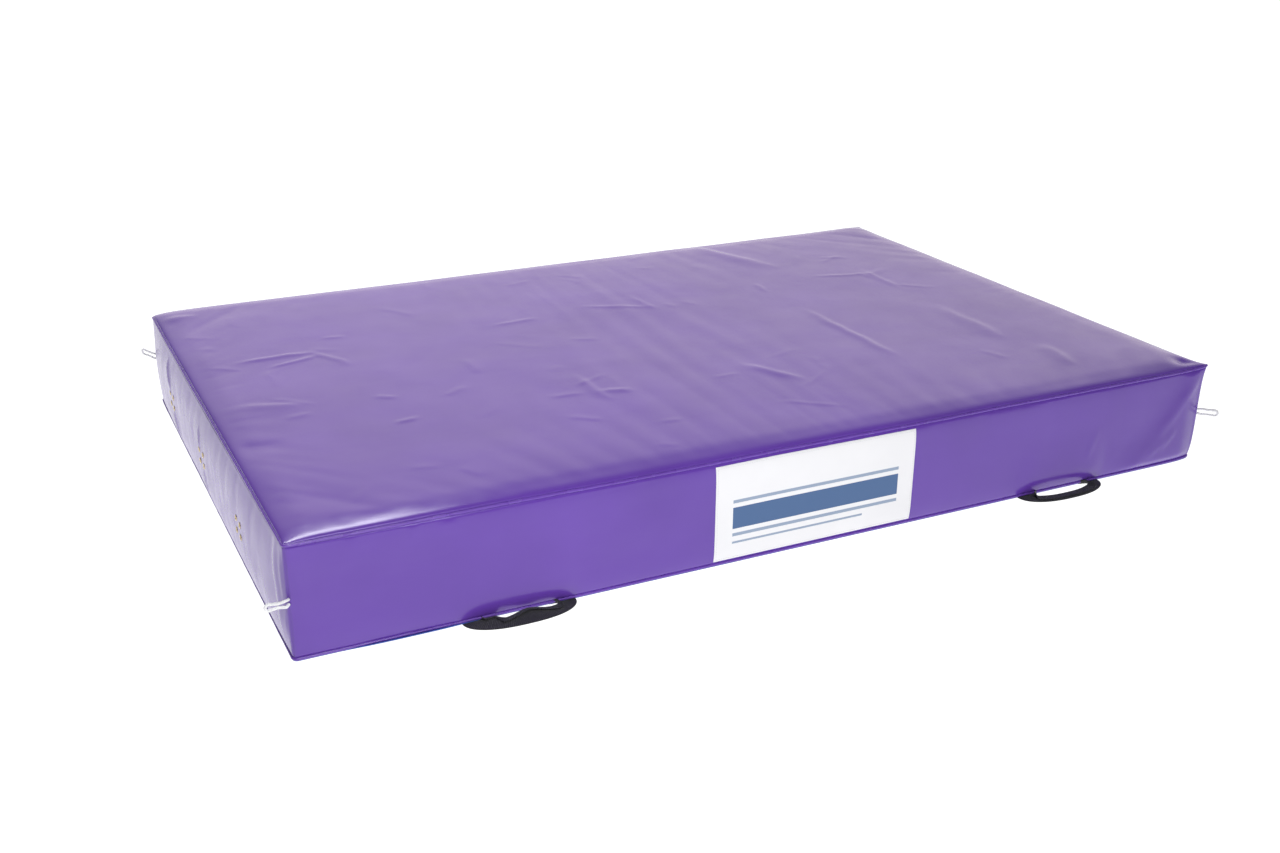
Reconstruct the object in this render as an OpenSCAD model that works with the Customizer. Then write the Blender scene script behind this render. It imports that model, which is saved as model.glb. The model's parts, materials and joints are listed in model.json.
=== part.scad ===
/* [Mat] */
// Length of the mat along its long walls
mat_l = 1830; // [1500:10:2400]
// Width of the mat along its short walls
mat_w = 1220; // [1000:10:1500]
// Height of the top seam, where the walls meet the landing panel
wall_h = 197; // [180:1:260]
// Height of the landing face at its flat middle
mat_h = 210; // [195:1:275]
// Distance over which the landing panel rolls over its edge
roll_w = 26; // [15:1:40]

/* [Foam] */
// Thickness of the firmer layer under the landing panel
top_layer_t = 50; // [30:1:80]
// Radius of the core's squeezed bottom edges
core_edge_r = 8; // [4:1:12]

/* [Cover] */
// Thickness of the coated fabric
fabric_t = 1.2; // [0.8:0.1:2]
// Diameter of the piping in the top and bottom seams
piping_d = 5; // [3:0.5:6]
// Height of the bottom piping's centre
bottom_seam_z = 6; // [6:0.5:9]

/* [Label] */
// Width of the blank label panel on the front wall
label_w = 407; // [200:1:600]
// Height of the label panel
label_h = 178; // [60:1:178]
// How far the label and the front handles sit to the right of the mat's middle
front_shift = 10; // [-40:1:40]

/* [Carry handles] */
// Distance from the middle of a long wall's handles to each handle's middle
handle_x = 558; // [350:1:650]
// Length of a handle along the seam
handle_l = 197; // [170:1:240]
// Width of each webbing end where it enters the seam
web_w = 48; // [30:1:50]
// Thickness of one layer of webbing
web_t = 2; // [1.5:0.1:2]
// How far a handle reaches out from the wall as it lies
handle_reach = 44; // [40:1:60]
// Width of the folded grip in the middle
grip_w = 19; // [16:1:24]
// Thickness of the folded grip
grip_t = 4.4; // [4:0.1:5]

/* [Corner loops] */
// Diameter of the corner loops' cord
cord_d = 5; // [4:0.5:6]
// How far a loop reaches from its hinge line
loop_reach = 34; // [25:1:45]
// Distance between a loop's two strands, centre to centre
loop_gap = 11; // [9:1:14]
// Height of the loops' middle above the floor
loop_z = 105; // [80:1:120]

/* [Vents] */
// Distance between neighbouring vent groups on an end wall
vent_pitch = 322; // [200:1:400]
// Height of the vent groups' centres
vent_z = 104; // [70:1:125]
// Spacing of a group's eyelets along the wall
eyelet_dy = 32; // [20:1:50]
// Spacing of a group's eyelets up the wall
eyelet_dz = 22; // [16:1:40]
// Outer radius of an eyelet's flange
eyelet_flange_r = 5.5; // [5:0.1:7]
// Radius of the air hole through an eyelet
eyelet_hole_r = 2.8; // [2:0.1:3]

/* [Zip] */
// Length of the zip's toothed rows on the back wall
zip_l = 1500; // [1200:10:1500]
// Height of the zip's middle line
zip_z = 100; // [90:1:110]
// Height of one toothed row
row_h = 4.2; // [3.5:0.1:5]
// Gap between the rows, through which the slider's bridge runs
row_gap = 1.6; // [1.4:0.1:2]
// Length of the slider
slider_l = 18; // [14:1:22]
// Length of the pull tab past its hinge
pull_l = 30; // [20:1:36]

/* [Hidden] */

$fn = 48;
clear = 0.3;
slack = 0.2;
skin = 0.1;
bore_fn = 32;

purple = [0.46, 0.34, 0.68];
lilac = [0.55, 0.44, 0.76];
blue = [0.22, 0.33, 0.72];
black = [0.14, 0.14, 0.18];
white = [0.95, 0.95, 0.96];
brass = [0.78, 0.66, 0.36];

half_l = mat_l / 2;
half_w = mat_w / 2;

// Foam sits a little inside the walls: the ends leave room for the eyelets' barrels.
end_gap = 2.3;
long_gap = 2;
foam_half_l = half_l - fabric_t - end_gap;
foam_half_w = half_w - fabric_t - long_gap;
foam_low = fabric_t + slack;
foam_high = mat_h - fabric_t - slack;
layer_split = foam_high - top_layer_t;
top_panel_low = wall_h + piping_d / 2 + slack;
wall_low = bottom_seam_z + piping_d / 2 + slack;
wall_high = wall_h - piping_d / 2 - slack;
corner_r = 6;
label_t = 0.7;

// Handles: the fixed ends stop at the fold line, and the strap folds up about it.
fold_r = 8;
strap_low = fabric_t + skin;
strap_in = 2;
handle_half = handle_l / 2;
gap_half = handle_half - web_w;
flare = 10;
flare_run = 3;

// Loops turn about a line just outside each corner.
loop_out = 3;
loop_sides = 10;
strand_steps = 6;
bend_steps = 12;

// Eyelets: a flange outside the wall, and a barrel through it that ends inside the washer.
eyelet_flange_t = 0.8;
barrel_t = 0.6;
barrel_in = 2.6;
washer_t = 0.6;
wall_hole_r = eyelet_hole_r + barrel_t + skin;

// Zip, from the inside of the wall outwards.
slot_margin = 2;
slot_half = row_gap / 2 + row_h + slot_margin;
slot_end = zip_l / 2 + 6;
slot_cut = 5;
tape_t = 0.9;
tape_y = half_w - fabric_t - clear - tape_t;
tape_h = 18;
row_y = tape_y + tape_t;
row_t = 2.6;
plate_t = 1.6;
back_plate_t = 1.4;
slider_half_h = slot_half - 2 * clear;
slider_x = zip_l / 2 - slider_l / 2 - 1;
back_plate_y = tape_y - 0.5 - back_plate_t;
front_plate_y = row_y + row_t + 0.4;
plate_face_y = front_plate_y + plate_t;
flange_t = 1;
bridge_from = 6;
bridge_to = 1;
channel_half = slot_half + slot_margin;
channel_depth = 4;
channel_run = 20;
stop_l = 2.7;
patch_l = 34;
patch_h = 36;
patch_t = 0.9;
patch_overlap = 2;
pin_r = 0.8;
pull_t = 2;
pull_eye_r = 2;
pull_hole_r = 1.5;
pull_hole_in = 4.5;
pin_y = plate_face_y + pull_eye_r + 0.5;
pull_half_h = 2.6;
lug_t = 1.2;
lug_in = pull_half_h + clear;
lug_half_l = 1.6;

// Points of a quarter ellipse from the seam up to the flat top, for a slab's right-hand edge.
function roll(half, low, high, w, n = 10) =
    [for (i = [0 : n]) [half - w + w * cos(90 * i / n), low + (high - low) * sin(90 * i / n)]];
function mirrored(points) = [for (i = [len(points) - 1 : -1 : 0]) [-points[i][0], points[i][1]]];

// Outline of a slab whose top edges roll over, seen along one of its sides.
module rolled_outline(half, low, high, w) {
    side = roll(half, low, high, w);
    polygon(concat(side, mirrored(side)));
}

// Bars with the outline given, centred and lying along X or along Y.
module along_x(length) {
    rotate([90, 0, 90]) translate([0, 0, -length / 2]) linear_extrude(length) children();
}
module along_y(length) {
    rotate([90, 0, 0]) translate([0, 0, -length / 2]) linear_extrude(length) children();
}

// A slab with all four top edges rolled over.
module rolled_slab(half_x, half_y, low, high, w) {
    intersection() {
        along_x(2 * half_x + 2) rolled_outline(half_y, low, high, w);
        along_y(2 * half_y + 2) rolled_outline(half_x, low, high, w);
    }
}

// Outline of the core, with round bottom edges.
module core_outline(half, low, high, r) {
    union() {
        translate([-half, low + r]) square([2 * half, high - low - r]);
        translate([-half + r, low]) square([2 * (half - r), r + 1]);
        for (s = [-1, 1]) translate([s * (half - r), low + r]) circle(r);
    }
}

// A box given by its lowest and highest corners.
module block(low, high) translate(low) cube(high - low);

// Turns a piece drawn for the positive side round to the side given, -1 or 1.
module flip_x(side) mirror([side < 0 ? 1 : 0, 0, 0]) children();
module flip_y(side) mirror([0, side < 0 ? 1 : 0, 0]) children();

// A ring of round piping around the mat at one height.
module piping_ring(z) {
    x = half_l - corner_r;
    y = half_w - corner_r;
    for (s = [-1, 1]) {
        translate([-x, s * half_w, z]) rotate([0, 90, 0]) cylinder(d = piping_d, h = 2 * x);
        translate([s * half_l, -y, z]) rotate([-90, 0, 0]) cylinder(d = piping_d, h = 2 * y);
    }
    for (a = [0 : 3]) {
        sx = (a == 0 || a == 3) ? 1 : -1;
        sy = (a < 2) ? 1 : -1;
        translate([sx * x, sy * y, z]) rotate([0, 0, 90 * a])
            rotate_extrude(angle = 90) translate([corner_r, 0]) circle(d = piping_d);
    }
}

module foam_core() {
    color("khaki") difference() {
        intersection() {
            along_x(mat_l) core_outline(foam_half_w, foam_low, layer_split, core_edge_r);
            along_y(mat_w) core_outline(foam_half_l, foam_low, layer_split, core_edge_r);
        }
        block([-slot_end - channel_run, foam_half_w - channel_depth, zip_z - channel_half],
              [slot_end + channel_run, half_w, zip_z + channel_half]);
    }
}

module foam_top_layer() {
    color("lightyellow") rolled_slab(foam_half_l, foam_half_w, layer_split, foam_high, roll_w);
}

module cover_top() {
    color(purple) difference() {
        rolled_slab(half_l, half_w, top_panel_low, mat_h, roll_w);
        rolled_slab(half_l - fabric_t, half_w - fabric_t, top_panel_low - 1, mat_h - fabric_t, roll_w);
    }
}

module cover_base() {
    color(blue) block([-half_l, -half_w, 0], [half_l, half_w, fabric_t]);
}

module cover_wall_front() {
    color(purple) block([-half_l, -half_w, wall_low], [half_l, -half_w + fabric_t, wall_high]);
}

// Centres of one end wall's eyelets, as [y, z].
function eyelet_places() =
    [for (group = [-1 : 1], j = [-1, 1], k = [-1, 1])
        [group * vent_pitch + j * eyelet_dy / 2, vent_z + k * eyelet_dz / 2]];

module end_wall(side) {
    out = side * half_l;
    in = side * (half_l - fabric_t);
    difference() {
        block([min(out, in), -half_w + fabric_t + slack, wall_low],
              [max(out, in), half_w - fabric_t - slack, wall_high]);
        for (p = eyelet_places()) translate([out, p[0], p[1]]) rotate([0, 90, 0])
            cylinder(r = wall_hole_r, h = 5 * fabric_t, center = true, $fn = bore_fn);
    }
}

module cover_wall_left() color(purple) end_wall(-1);
module cover_wall_right() color(purple) end_wall(1);

// One half of the back wall, cut back along the zip's slot; side is 1 above it and -1 below.
module back_half(side) {
    seam = zip_z + side * slack / 2;
    far = side > 0 ? wall_high : wall_low;
    difference() {
        block([-half_l, half_w - fabric_t, min(seam, far)], [half_l, half_w, max(seam, far)]);
        block([-slot_end, half_w - slot_cut, zip_z - slot_half],
              [slot_end, half_w + slot_cut, zip_z + slot_half]);
    }
}

module cover_wall_back_upper() color(purple) back_half(1);
module cover_wall_back_lower() color(purple) back_half(-1);

module piping_top() color(lilac) piping_ring(wall_h);
module piping_bottom() color(lilac) piping_ring(bottom_seam_z);

module label_panel() {
    z = (wall_low + wall_high) / 2;
    color(white) translate([front_shift - label_w / 2, -half_w - slack - label_t, z - label_h / 2])
        cube([label_w, label_t, label_h]);
}

// Seen from above, x runs along the seam and y out from the wall.
function arc_out(half, from, to, n = 16) =
    [for (i = [0 : n]) [half * cos(180 * i / n), from + (to - from) * sin(180 * i / n)]];

// Plan of a lying handle: two wide ends that sweep into a narrow grip.
module strap_outline() {
    inner = handle_reach - grip_w;
    from = fold_r + slack * 2;
    difference() {
        polygon(arc_out(handle_half, from, handle_reach));
        polygon([
            [-gap_half, 0], [-gap_half, from + flare_run], [-gap_half + flare, inner],
            [gap_half - flare, inner], [gap_half, from + flare_run], [gap_half, 0]
        ]);
    }
}

module strap() {
    translate([0, 0, strap_low]) {
        linear_extrude(web_t) strap_outline();
        linear_extrude(grip_t) intersection() {
            strap_outline();
            translate([-gap_half, handle_reach - grip_w]) square([2 * gap_half, grip_w]);
        }
    }
}

module strap_ends() {
    for (s = [-1, 1]) translate([s * (handle_half - web_w / 2) - web_w / 2, -strap_in, strap_low])
        cube([web_w, fold_r + strap_in, web_t]);
}

// Puts a handle piece, drawn with y outwards, on the front (-1) or back (1) wall.
module at_handle(side_x, side_y) {
    shift = side_y < 0 ? front_shift : 0;
    translate([shift + side_x * handle_x, side_y * half_w, 0]) flip_y(side_y) children();
}

module handle_front_left() color(black) at_handle(-1, -1) strap();
module handle_front_right() color(black) at_handle(1, -1) strap();
module handle_back_left() color(black) at_handle(-1, 1) strap();
module handle_back_right() color(black) at_handle(1, 1) strap();
module handle_ends_front_left() color(black) at_handle(-1, -1) strap_ends();
module handle_ends_front_right() color(black) at_handle(1, -1) strap_ends();
module handle_ends_back_left() color(black) at_handle(-1, 1) strap_ends();
module handle_ends_back_right() color(black) at_handle(1, 1) strap_ends();

// Centre line of a loop in its own plane: out along the upper strand, round the bend and back.
function loop_line() =
    let (r = loop_gap / 2, run = loop_reach - cord_d / 2 - r)
    concat([for (i = [0 : strand_steps - 1]) [run * i / strand_steps, r]],
           [for (i = [0 : bend_steps]) let (b = 180 * i / bend_steps) [run + r * sin(b), r * cos(b)]],
           [for (i = [strand_steps - 1 : -1 : 0]) [run * i / strand_steps, -r]]);

function turned(p, a) = [p[0] * cos(a), p[0] * sin(a), p[1]];
function unit(v) = v / norm(v);

// A round tube along a flat line that stands in the vertical plane at angle a.
module cord_tube(line, a, d, sides) {
    n = len(line);
    function ahead(i) = unit(line[min(i + 1, n - 1)] - line[max(i - 1, 0)]);
    function ring(i) =
        let (t = ahead(i), flat = [-t[1], t[0]])
        [for (k = [0 : sides - 1])
            let (c = d / 2 * cos(360 * k / sides), s = d / 2 * sin(360 * k / sides))
            turned(line[i] + c * flat, a) + s * [-sin(a), cos(a), 0]];
    points = [for (i = [0 : n - 1]) each ring(i)];
    walls = [for (i = [0 : n - 2], k = [0 : sides - 1])
        let (a = i * sides, b = a + sides, next = (k + 1) % sides)
        [a + k, a + next, b + next, b + k]];
    start = [for (k = [sides - 1 : -1 : 0]) k];
    end = [for (k = [0 : sides - 1]) (n - 1) * sides + k];
    polyhedron(points, concat(walls, [start, end]));
}

module corner_loop(side_x, side_y, angle) {
    color(white) translate([side_x * (half_l + loop_out), side_y * (half_w + loop_out), loop_z])
        cord_tube(loop_line(), angle, cord_d, loop_sides);
}

module loop_front_left() corner_loop(-1, -1, 180);
module loop_front_right() corner_loop(1, -1, -45);
module loop_back_left() corner_loop(-1, 1, 135);
module loop_back_right() corner_loop(1, 1, 0);

// A ring about the X axis, from x = 0 to x = t.
module ring_x(inner_r, outer_r, t) {
    rotate([0, 90, 0]) difference() {
        cylinder(r = outer_r, h = t, $fn = bore_fn);
        translate([0, 0, -1]) cylinder(r = inner_r, h = t + 2, $fn = bore_fn);
    }
}

// Eyelets: a flange outside the wall and a barrel through it.
module eyelets(side) {
    color(brass) for (p = eyelet_places())
        translate([side * (half_l + skin), p[0], p[1]]) flip_x(side) {
            ring_x(eyelet_hole_r, eyelet_flange_r, eyelet_flange_t);
            translate([-barrel_in, 0, 0])
                ring_x(eyelet_hole_r, eyelet_hole_r + barrel_t, barrel_in + skin);
        }
}

module washers(side) {
    color(brass) for (p = eyelet_places())
        translate([side * (half_l - fabric_t - skin), p[0], p[1]]) flip_x(side)
            translate([-washer_t, 0, 0]) ring_x(wall_hole_r, eyelet_flange_r, washer_t);
}

module vent_eyelets_left() eyelets(-1);
module vent_eyelets_right() eyelets(1);
module vent_washers_left() washers(-1);
module vent_washers_right() washers(1);

// A bar along the zip, on one side of its middle line, from h1 to h2 away from it.
module zip_bar(side, h1, h2, y1, y2, half) {
    low = min(side * h1, side * h2);
    high = max(side * h1, side * h2);
    block([-half, y1, zip_z + low], [half, y2, zip_z + high]);
}

module zip_tape(side) {
    zip_bar(side, row_gap / 2, tape_h, tape_y, tape_y + tape_t, slot_end);
}
module zip_tape_upper() color(black) zip_tape(1);
module zip_tape_lower() color(black) zip_tape(-1);

module zip_row(side) {
    zip_bar(side, row_gap / 2, row_gap / 2 + row_h, row_y, row_y + row_t, zip_l / 2);
}
module zip_row_upper() color("dimgray") zip_row(1);
module zip_row_lower() color("dimgray") zip_row(-1);

module zip_end_stops() {
    near = zip_l / 2 + clear;
    far = near + stop_l;
    reach = row_gap / 2 + row_h;
    color(brass) {
        block([-far, row_y, zip_z - reach], [-near, row_y + row_t, zip_z + reach]);
        for (s = [-1, 1]) translate([0, 0, s * (reach + row_gap / 2) / 2])
            block([near, row_y, zip_z - row_h / 2], [far, row_y + row_t, zip_z + row_h / 2]);
    }
}

module zip_end_patches() {
    middle = slot_end - patch_overlap + patch_l / 2;
    color(purple) for (s = [-1, 1])
        translate([s * middle - patch_l / 2, half_w + slack, zip_z - patch_h / 2])
            cube([patch_l, patch_t, patch_h]);
}

module zip_slider() {
    x1 = slider_x - slider_l / 2;
    x2 = slider_x + slider_l / 2;
    h = slider_half_h;
    bridge = row_gap / 2 - clear;
    color("silver") {
        block([x1, front_plate_y, zip_z - h], [x2, plate_face_y, zip_z + h]);
        block([x1, back_plate_y, zip_z - h], [x2, back_plate_y + back_plate_t, zip_z + h]);
        block([x2 - bridge_from, back_plate_y, zip_z - bridge],
              [x2 - bridge_to, plate_face_y, zip_z + bridge]);
        for (s = [-1, 1]) translate([0, 0, s * (h - flange_t / 2)])
            block([x1, row_y + clear, zip_z - flange_t / 2], [x2, plate_face_y, zip_z + flange_t / 2]);
        for (s = [-1, 1]) translate([slider_x, 0, zip_z + s * (lug_in + lug_t / 2)])
            block([-lug_half_l, plate_face_y - skin, -lug_t / 2],
                  [lug_half_l, pin_y + lug_half_l, lug_t / 2]);
        translate([slider_x, pin_y, zip_z])
            cylinder(r = pin_r, h = 2 * (lug_in + lug_t), center = true, $fn = bore_fn);
    }
}

module zip_pull() {
    color("silver") translate([slider_x, pin_y, zip_z - pull_half_h]) difference() {
        union() {
            cylinder(r = pull_eye_r, h = 2 * pull_half_h, $fn = bore_fn);
            translate([-pull_l, -pull_t / 2, 0]) cube([pull_l, pull_t, 2 * pull_half_h]);
        }
        translate([0, 0, -1]) cylinder(r = pin_r + skin, h = 2 * pull_half_h + 2, $fn = bore_fn);
        translate([-pull_l + pull_hole_in, 0, pull_half_h]) rotate([90, 0, 0])
            cylinder(r = pull_hole_r, h = 5 * pull_t, center = true, $fn = bore_fn);
    }
}

foam_core();
foam_top_layer();
cover_top();
cover_base();
cover_wall_front();
cover_wall_left();
cover_wall_right();
cover_wall_back_upper();
cover_wall_back_lower();
piping_top();
piping_bottom();
label_panel();
handle_front_left();
handle_front_right();
handle_back_left();
handle_back_right();
handle_ends_front_left();
handle_ends_front_right();
handle_ends_back_left();
handle_ends_back_right();
loop_front_left();
loop_front_right();
loop_back_left();
loop_back_right();
vent_eyelets_left();
vent_eyelets_right();
vent_washers_left();
vent_washers_right();
zip_tape_upper();
zip_tape_lower();
zip_row_upper();
zip_row_lower();
zip_end_stops();
zip_end_patches();
zip_slider();
zip_pull();
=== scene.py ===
import itertools
import json
import math

import bmesh
import bpy
import numpy as np
from mathutils import Euler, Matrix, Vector, noise


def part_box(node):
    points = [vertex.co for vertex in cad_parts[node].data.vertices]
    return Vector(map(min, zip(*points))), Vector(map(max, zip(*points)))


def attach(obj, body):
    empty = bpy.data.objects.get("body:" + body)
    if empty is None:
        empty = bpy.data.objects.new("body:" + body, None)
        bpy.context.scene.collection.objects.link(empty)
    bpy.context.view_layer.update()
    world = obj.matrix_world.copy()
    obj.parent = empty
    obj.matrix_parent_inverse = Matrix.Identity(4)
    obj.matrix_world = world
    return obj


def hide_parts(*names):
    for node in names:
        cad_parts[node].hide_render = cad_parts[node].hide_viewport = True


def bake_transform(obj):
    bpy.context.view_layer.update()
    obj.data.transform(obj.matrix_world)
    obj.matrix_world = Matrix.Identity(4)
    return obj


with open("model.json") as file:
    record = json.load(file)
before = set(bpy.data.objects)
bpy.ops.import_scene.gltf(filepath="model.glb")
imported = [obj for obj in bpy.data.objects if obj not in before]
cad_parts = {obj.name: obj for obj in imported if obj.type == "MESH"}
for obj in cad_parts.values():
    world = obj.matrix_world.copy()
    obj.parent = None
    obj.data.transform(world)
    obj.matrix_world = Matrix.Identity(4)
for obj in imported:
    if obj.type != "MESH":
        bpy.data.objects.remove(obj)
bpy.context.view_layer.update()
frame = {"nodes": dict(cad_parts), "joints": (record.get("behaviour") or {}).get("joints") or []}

MM = 0.001


# ---- sizes, from the frame

top_low, top_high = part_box("cover_top")
pipe_low, pipe_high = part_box("piping_top")
sole_low, sole_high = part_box("piping_bottom")
HALF_L = top_high.x
HALF_W = top_high.y
CROWN_Z = top_high.z
SEAM_Z = (pipe_low.z + pipe_high.z) / 2
SOLE_Z = (sole_low.z + sole_high.z) / 2
PIPE_R = (pipe_high.z - pipe_low.z) / 2
FABRIC = 1.2 * MM
CORNER_R = 8 * MM
ROLL_W = 58 * MM
EDGE_STEPS = np.array([0, 0.8, 1.6, 2.6, 3.8, 5.4, 7.4, 10, 13, 17, 22]) * MM
CELL = 6 * MM


# ---- camera

LENS = 40.54
CAMERA_AT = (-1.279, -2.532, 1.158)
CAMERA_TURN = (math.radians(67.88), math.radians(-0.37), math.radians(-26.04))


def configured(target, **values):
    """Sets several properties of one thing."""
    for key, value in values.items():
        setattr(target, key, value)
    return target


def add_camera():
    camera = bpy.data.objects.new("camera", bpy.data.cameras.new("camera"))
    bpy.context.scene.collection.objects.link(camera)
    configured(camera, location=CAMERA_AT, rotation_euler=Euler(CAMERA_TURN, "XYZ"))
    configured(camera.data, lens=LENS, sensor_width=36, clip_end=100)
    bpy.context.scene.camera = camera


add_camera()


# ---- mesh helpers

def new_object(name, mesh):
    piece = bpy.data.objects.new(name, mesh)
    bpy.context.scene.collection.objects.link(piece)
    return piece


def mesh_piece(name, points, faces, smooth=True):
    mesh = bpy.data.meshes.new(name)
    mesh.from_pydata(np.asarray(points, float).tolist(), [], [list(map(int, f)) for f in faces])
    mesh.update()
    if smooth:
        mesh.shade_smooth()
    return new_object(name, mesh)


def grid_faces(rows, cols, flip=False, closed=False):
    """Quads over a grid of rows by cols points; closed joins the last column to the first."""
    index = np.arange(rows * cols).reshape(rows, cols)
    if closed:
        index = np.concatenate([index, index[:, :1]], axis=1)
    quads = np.stack([index[:-1, :-1], index[:-1, 1:], index[1:, 1:], index[1:, :-1]], -1).reshape(-1, 4)
    return quads[:, ::-1] if flip else quads


def grid_piece(name, points, flip=False):
    """A sheet through a grid of points."""
    return mesh_piece(name, points.reshape(-1, 3), grid_faces(*points.shape[:2], flip))


def add_uv(piece, uv):
    """Gives every corner of the mesh the uv of its vertex."""
    layer = piece.data.uv_layers.new(name="UVMap")
    index = np.zeros(len(piece.data.loops), int)
    piece.data.loops.foreach_get("vertex_index", index)
    layer.data.foreach_set("uv", np.asarray(uv, float).reshape(-1, 2)[index].ravel())


def modify(piece, name, kind, **values):
    return configured(piece.modifiers.new(name, kind), **values)


def apply_modifiers(piece):
    depsgraph = bpy.context.evaluated_depsgraph_get()
    mesh = bpy.data.meshes.new_from_object(piece.evaluated_get(depsgraph))
    piece.modifiers.clear()
    piece.data = mesh
    return piece


def thicken(piece, thickness, offset=-1):
    """Turns a sheet into cloth with a real thickness, grown inwards unless offset says otherwise."""
    modify(piece, "thickness", "SOLIDIFY", thickness=thickness, offset=offset)
    apply_modifiers(piece)
    piece.data.shade_smooth()
    return piece


def lofted(rings):
    """Vertices and faces of a closed solid through rings that have the same number of points."""
    count = len(rings[0])
    faces = list(grid_faces(len(rings), count, closed=True))
    faces.append(np.arange(count)[::-1])
    faces.append(np.arange(count) + (len(rings) - 1) * count)
    return np.concatenate(rings), faces


def joined(parts):
    """One list of vertices and faces from several."""
    verts, faces, start = [], [], 0
    for v, f in parts:
        verts.append(v)
        faces += [np.asarray(ring, int) + start for ring in f]
        start += len(v)
    return np.concatenate(verts), faces


def travelled(path):
    """Distance along a path at each of its points."""
    return np.concatenate([[0], np.cumsum(np.linalg.norm(np.diff(path, axis=0), axis=1))])


def circle(count):
    """Evenly spaced angles round a circle."""
    return np.linspace(0, 2 * math.pi, count, endpoint=False)


def tube(name, path, radius, sides=12, closed=False, uv=False):
    """A tube along path; radius is a function of the angles and the distance along."""
    path = np.asarray(path, float)
    ahead = np.roll(path, -1, 0) - np.roll(path, 1, 0)
    if not closed:
        ahead[0] = path[1] - path[0]
        ahead[-1] = path[-1] - path[-2]
    ahead /= np.linalg.norm(ahead, axis=1)[:, None]
    along = travelled(path)
    side = np.cross(ahead[0], [0, 0, 1])
    rings, coords = [], []
    angles = circle(sides)
    for i in range(len(path)):
        side = side - ahead[i] * (side @ ahead[i])
        side /= np.linalg.norm(side)
        up = np.cross(side, ahead[i])
        r = radius(angles, along[i])
        rings.append(path[i] + r[:, None] * (np.cos(angles)[:, None] * side + np.sin(angles)[:, None] * up))
        coords.append(np.stack([angles / (2 * math.pi), np.full(sides, along[i])], -1))
    verts, faces = lofted(rings)
    if closed:
        last = (len(path) - 1) * sides
        faces[-2:] = [[last + k, last + (k + 1) % sides, (k + 1) % sides, k] for k in range(sides)]
    piece = mesh_piece(name, verts, faces)
    if uv:
        add_uv(piece, np.concatenate(coords))
    return piece


def smoothstep(value, low, high):
    t = np.clip((np.asarray(value, float) - low) / (high - low), 0, 1)
    return t * t * (3 - 2 * t)


def noise_field(points, scale, seed):
    """Smooth noise of about -1 to 1 at each point."""
    shift = Vector((seed * 13.7, seed * 5.3, seed * 9.1))
    flat = np.asarray(points, float).reshape(-1, 3) / scale
    values = [noise.noise(Vector(p) + shift) for p in flat]
    return np.array(values).reshape(np.asarray(points).shape[:-1])


def stops(length, steps=EDGE_STEPS, cell=CELL):
    """Grid lines from 0 to length: close together at both edges, and a cell apart between them."""
    inner = np.linspace(steps[-1], length - steps[-1], max(2, round((length - 2 * steps[-1]) / cell)))
    return np.concatenate([steps[:-1], inner, length - steps[:-1][::-1]])


# ---- the skin's shape

# The cloth simulation's grid, its frames and its settings.
SIM_CELL = 13 * MM
SIM_FRAMES = 20
CLOTH = {"quality": 4, "mass": 0.3, "tension_stiffness": 15, "compression_stiffness": 15,
         "bending_stiffness": 0.3, "use_pressure": True, "uniform_pressure_force": 4,
         "vertex_group_mass": "pin", "shrink_min": -0.015}
# Half of each face's length, and the way that it faces.
FACES = {"top": HALF_L, "front": HALF_L, "back": HALF_L, "left": HALF_W, "right": HALF_W}
OUTWARD = {"top": (0, 0, 1), "front": (0, -1, 0), "back": (0, 1, 0), "left": (-1, 0, 0), "right": (1, 0, 0)}
# Walls whose grids face inwards unless their faces are turned round.
FLIPPED = ("back", "left")
WALL_MID = (SEAM_Z + SOLE_Z) / 2
WALL_HALF = (SEAM_Z - SOLE_Z) / 2
zip_low, zip_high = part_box("zip_row_lower")[0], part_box("zip_row_upper")[1]
ZIP_Z = (zip_low.z + zip_high.z) / 2
SLOT_END = zip_high.x + 6 * MM


def wall_place(side, along, z, out):
    """Points on a wall: along it, at height z, and out from its flat plane."""
    along, z, out = np.broadcast_arrays(along, z, out)
    across, ahead, _ = OUTWARD[side]
    if ahead:
        return np.stack([along, ahead * (HALF_W + out), z], -1)
    return np.stack([across * (HALF_L + out), along, z], -1)


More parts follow.
